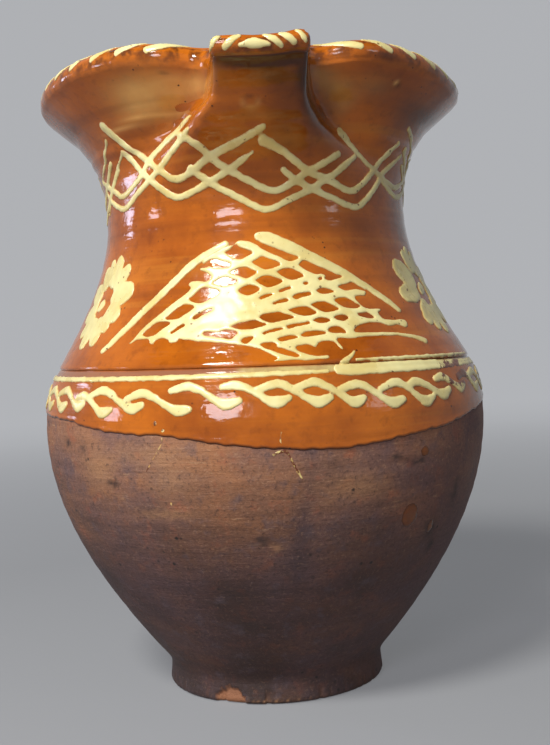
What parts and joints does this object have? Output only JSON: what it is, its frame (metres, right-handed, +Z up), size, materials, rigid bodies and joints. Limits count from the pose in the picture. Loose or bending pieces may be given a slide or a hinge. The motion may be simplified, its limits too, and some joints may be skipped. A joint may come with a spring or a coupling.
{
  "type": "ceramic jug",
  "caption": "Wide-bellied earthenware jug with a pulled spout, a strap handle, a honey glaze on the upper part and a raised cream slip pattern, bare clay below.",
  "frame": {"origin": "centre of the foot's flat underside, on the jug's axis", "axes": "+Z up along the jug's axis, -Y towards the spout, +Y towards the handle, +X to the right as the spout faces the viewer"},
  "size_m": [0.1916, 0.2314, 0.2542],
  "materials": {
    "clay": "matte",
    "honey_glaze": "gloss",
    "cream_slip": "gloss"
  },
  "bodies": {
    "root": {"front_net": "cream_slip", "hook_chain": "cream_slip", "inner_glaze": "honey_glaze", "left_flower": "cream_slip", "left_flower_dot": "cream_slip", "neck_lattice": "cream_slip", "net_left_border": "cream_slip", "outer_glaze": "honey_glaze", "right_flower": "cream_slip", "right_flower_dot": "cream_slip", "rim_dash_1": "cream_slip", "rim_dash_10": "cream_slip", "rim_dash_11": "cream_slip", "rim_dash_12": "cream_slip", "rim_dash_13": "cream_slip", "rim_dash_14": "cream_slip", "rim_dash_15": "cream_slip", "rim_dash_16": "cream_slip", "rim_dash_17": "cream_slip", "rim_dash_18": "cream_slip", "rim_dash_19": "cream_slip", "rim_dash_2": "cream_slip", "rim_dash_20": "cream_slip", "rim_dash_21": "cream_slip", "rim_dash_22": "cream_slip", "rim_dash_23": "cream_slip", "rim_dash_24": "cream_slip", "rim_dash_25": "cream_slip", "rim_dash_26": "cream_slip", "rim_dash_27": "cream_slip", "rim_dash_28": "cream_slip", "rim_dash_29": "cream_slip", "rim_dash_3": "cream_slip", "rim_dash_30": "cream_slip", "rim_dash_31": "cream_slip", "rim_dash_32": "cream_slip", "rim_dash_33": "cream_slip", "rim_dash_34": "cream_slip", "rim_dash_35": "cream_slip", "rim_dash_36": "cream_slip", "rim_dash_37": "cream_slip", "rim_dash_38": "cream_slip", "rim_dash_4": "cream_slip", "rim_dash_5": "cream_slip", "rim_dash_6": "cream_slip", "rim_dash_7": "cream_slip", "rim_dash_8": "cream_slip", "rim_dash_9": "cream_slip", "shoulder_line": "cream_slip", "spout_dash_1": "cream_slip", "spout_dash_2": "cream_slip", "spout_dash_3": "cream_slip", "spout_dash_4": "cream_slip", "spout_dash_5": "cream_slip", "spout_dash_6": "cream_slip", "strap_handle": "honey_glaze", "thrown_body": "clay"}
  },
  "joints": []
}
